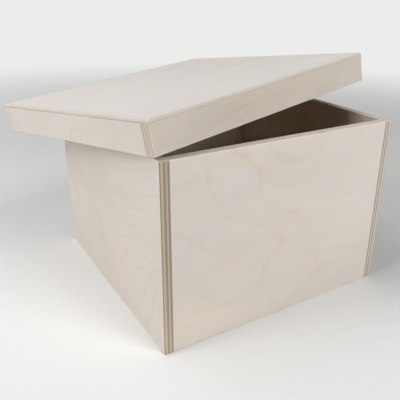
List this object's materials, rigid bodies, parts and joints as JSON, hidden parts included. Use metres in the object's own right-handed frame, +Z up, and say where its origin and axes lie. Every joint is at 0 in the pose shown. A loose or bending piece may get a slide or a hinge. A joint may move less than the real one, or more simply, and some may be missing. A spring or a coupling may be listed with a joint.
{
  "type": "lidded plywood box",
  "caption": "Square pale plywood chuck box with a loose lift-off lid that is set down askew across its walls.",
  "frame": {"origin": "centre of the underside of the box, on the surface that it stands on", "axes": "+Z up, +X to the right along the front panel, +Y from the front panel to the back panel"},
  "size_m": [0.4417, 0.4468, 0.3258],
  "materials": {
    "birch_plywood": "sanded, unfinished, matt",
    "thin_birch_plywood": "sanded, unfinished, matt",
    "beech_dowel": "turned, glued in, hidden"
  },
  "bodies": {
    "box": {"front_panel": "birch_plywood", "back_panel": "birch_plywood", "left_panel": "birch_plywood", "right_panel": "birch_plywood", "bottom_panel": "birch_plywood", "front_left_dowels": "beech_dowel", "front_right_dowels": "beech_dowel", "back_left_dowels": "beech_dowel", "back_right_dowels": "beech_dowel", "bottom_front_dowels": "beech_dowel", "bottom_back_dowels": "beech_dowel", "bottom_left_dowels": "beech_dowel", "bottom_right_dowels": "beech_dowel"},
    "lid": {"lid_top_board": "thin_birch_plywood", "lid_front_rail": "birch_plywood", "lid_back_rail": "birch_plywood", "lid_left_rail": "birch_plywood", "lid_right_rail": "birch_plywood", "lid_front_left_dowels": "beech_dowel", "lid_front_right_dowels": "beech_dowel", "lid_back_left_dowels": "beech_dowel", "lid_back_right_dowels": "beech_dowel"}
  },
  "joints": [
    {"name": "lid_lift", "type": "slide", "parent": "box", "child": "lid", "axis": [0, 0, 1], "range_m": [0, 0.15]}
  ]
}
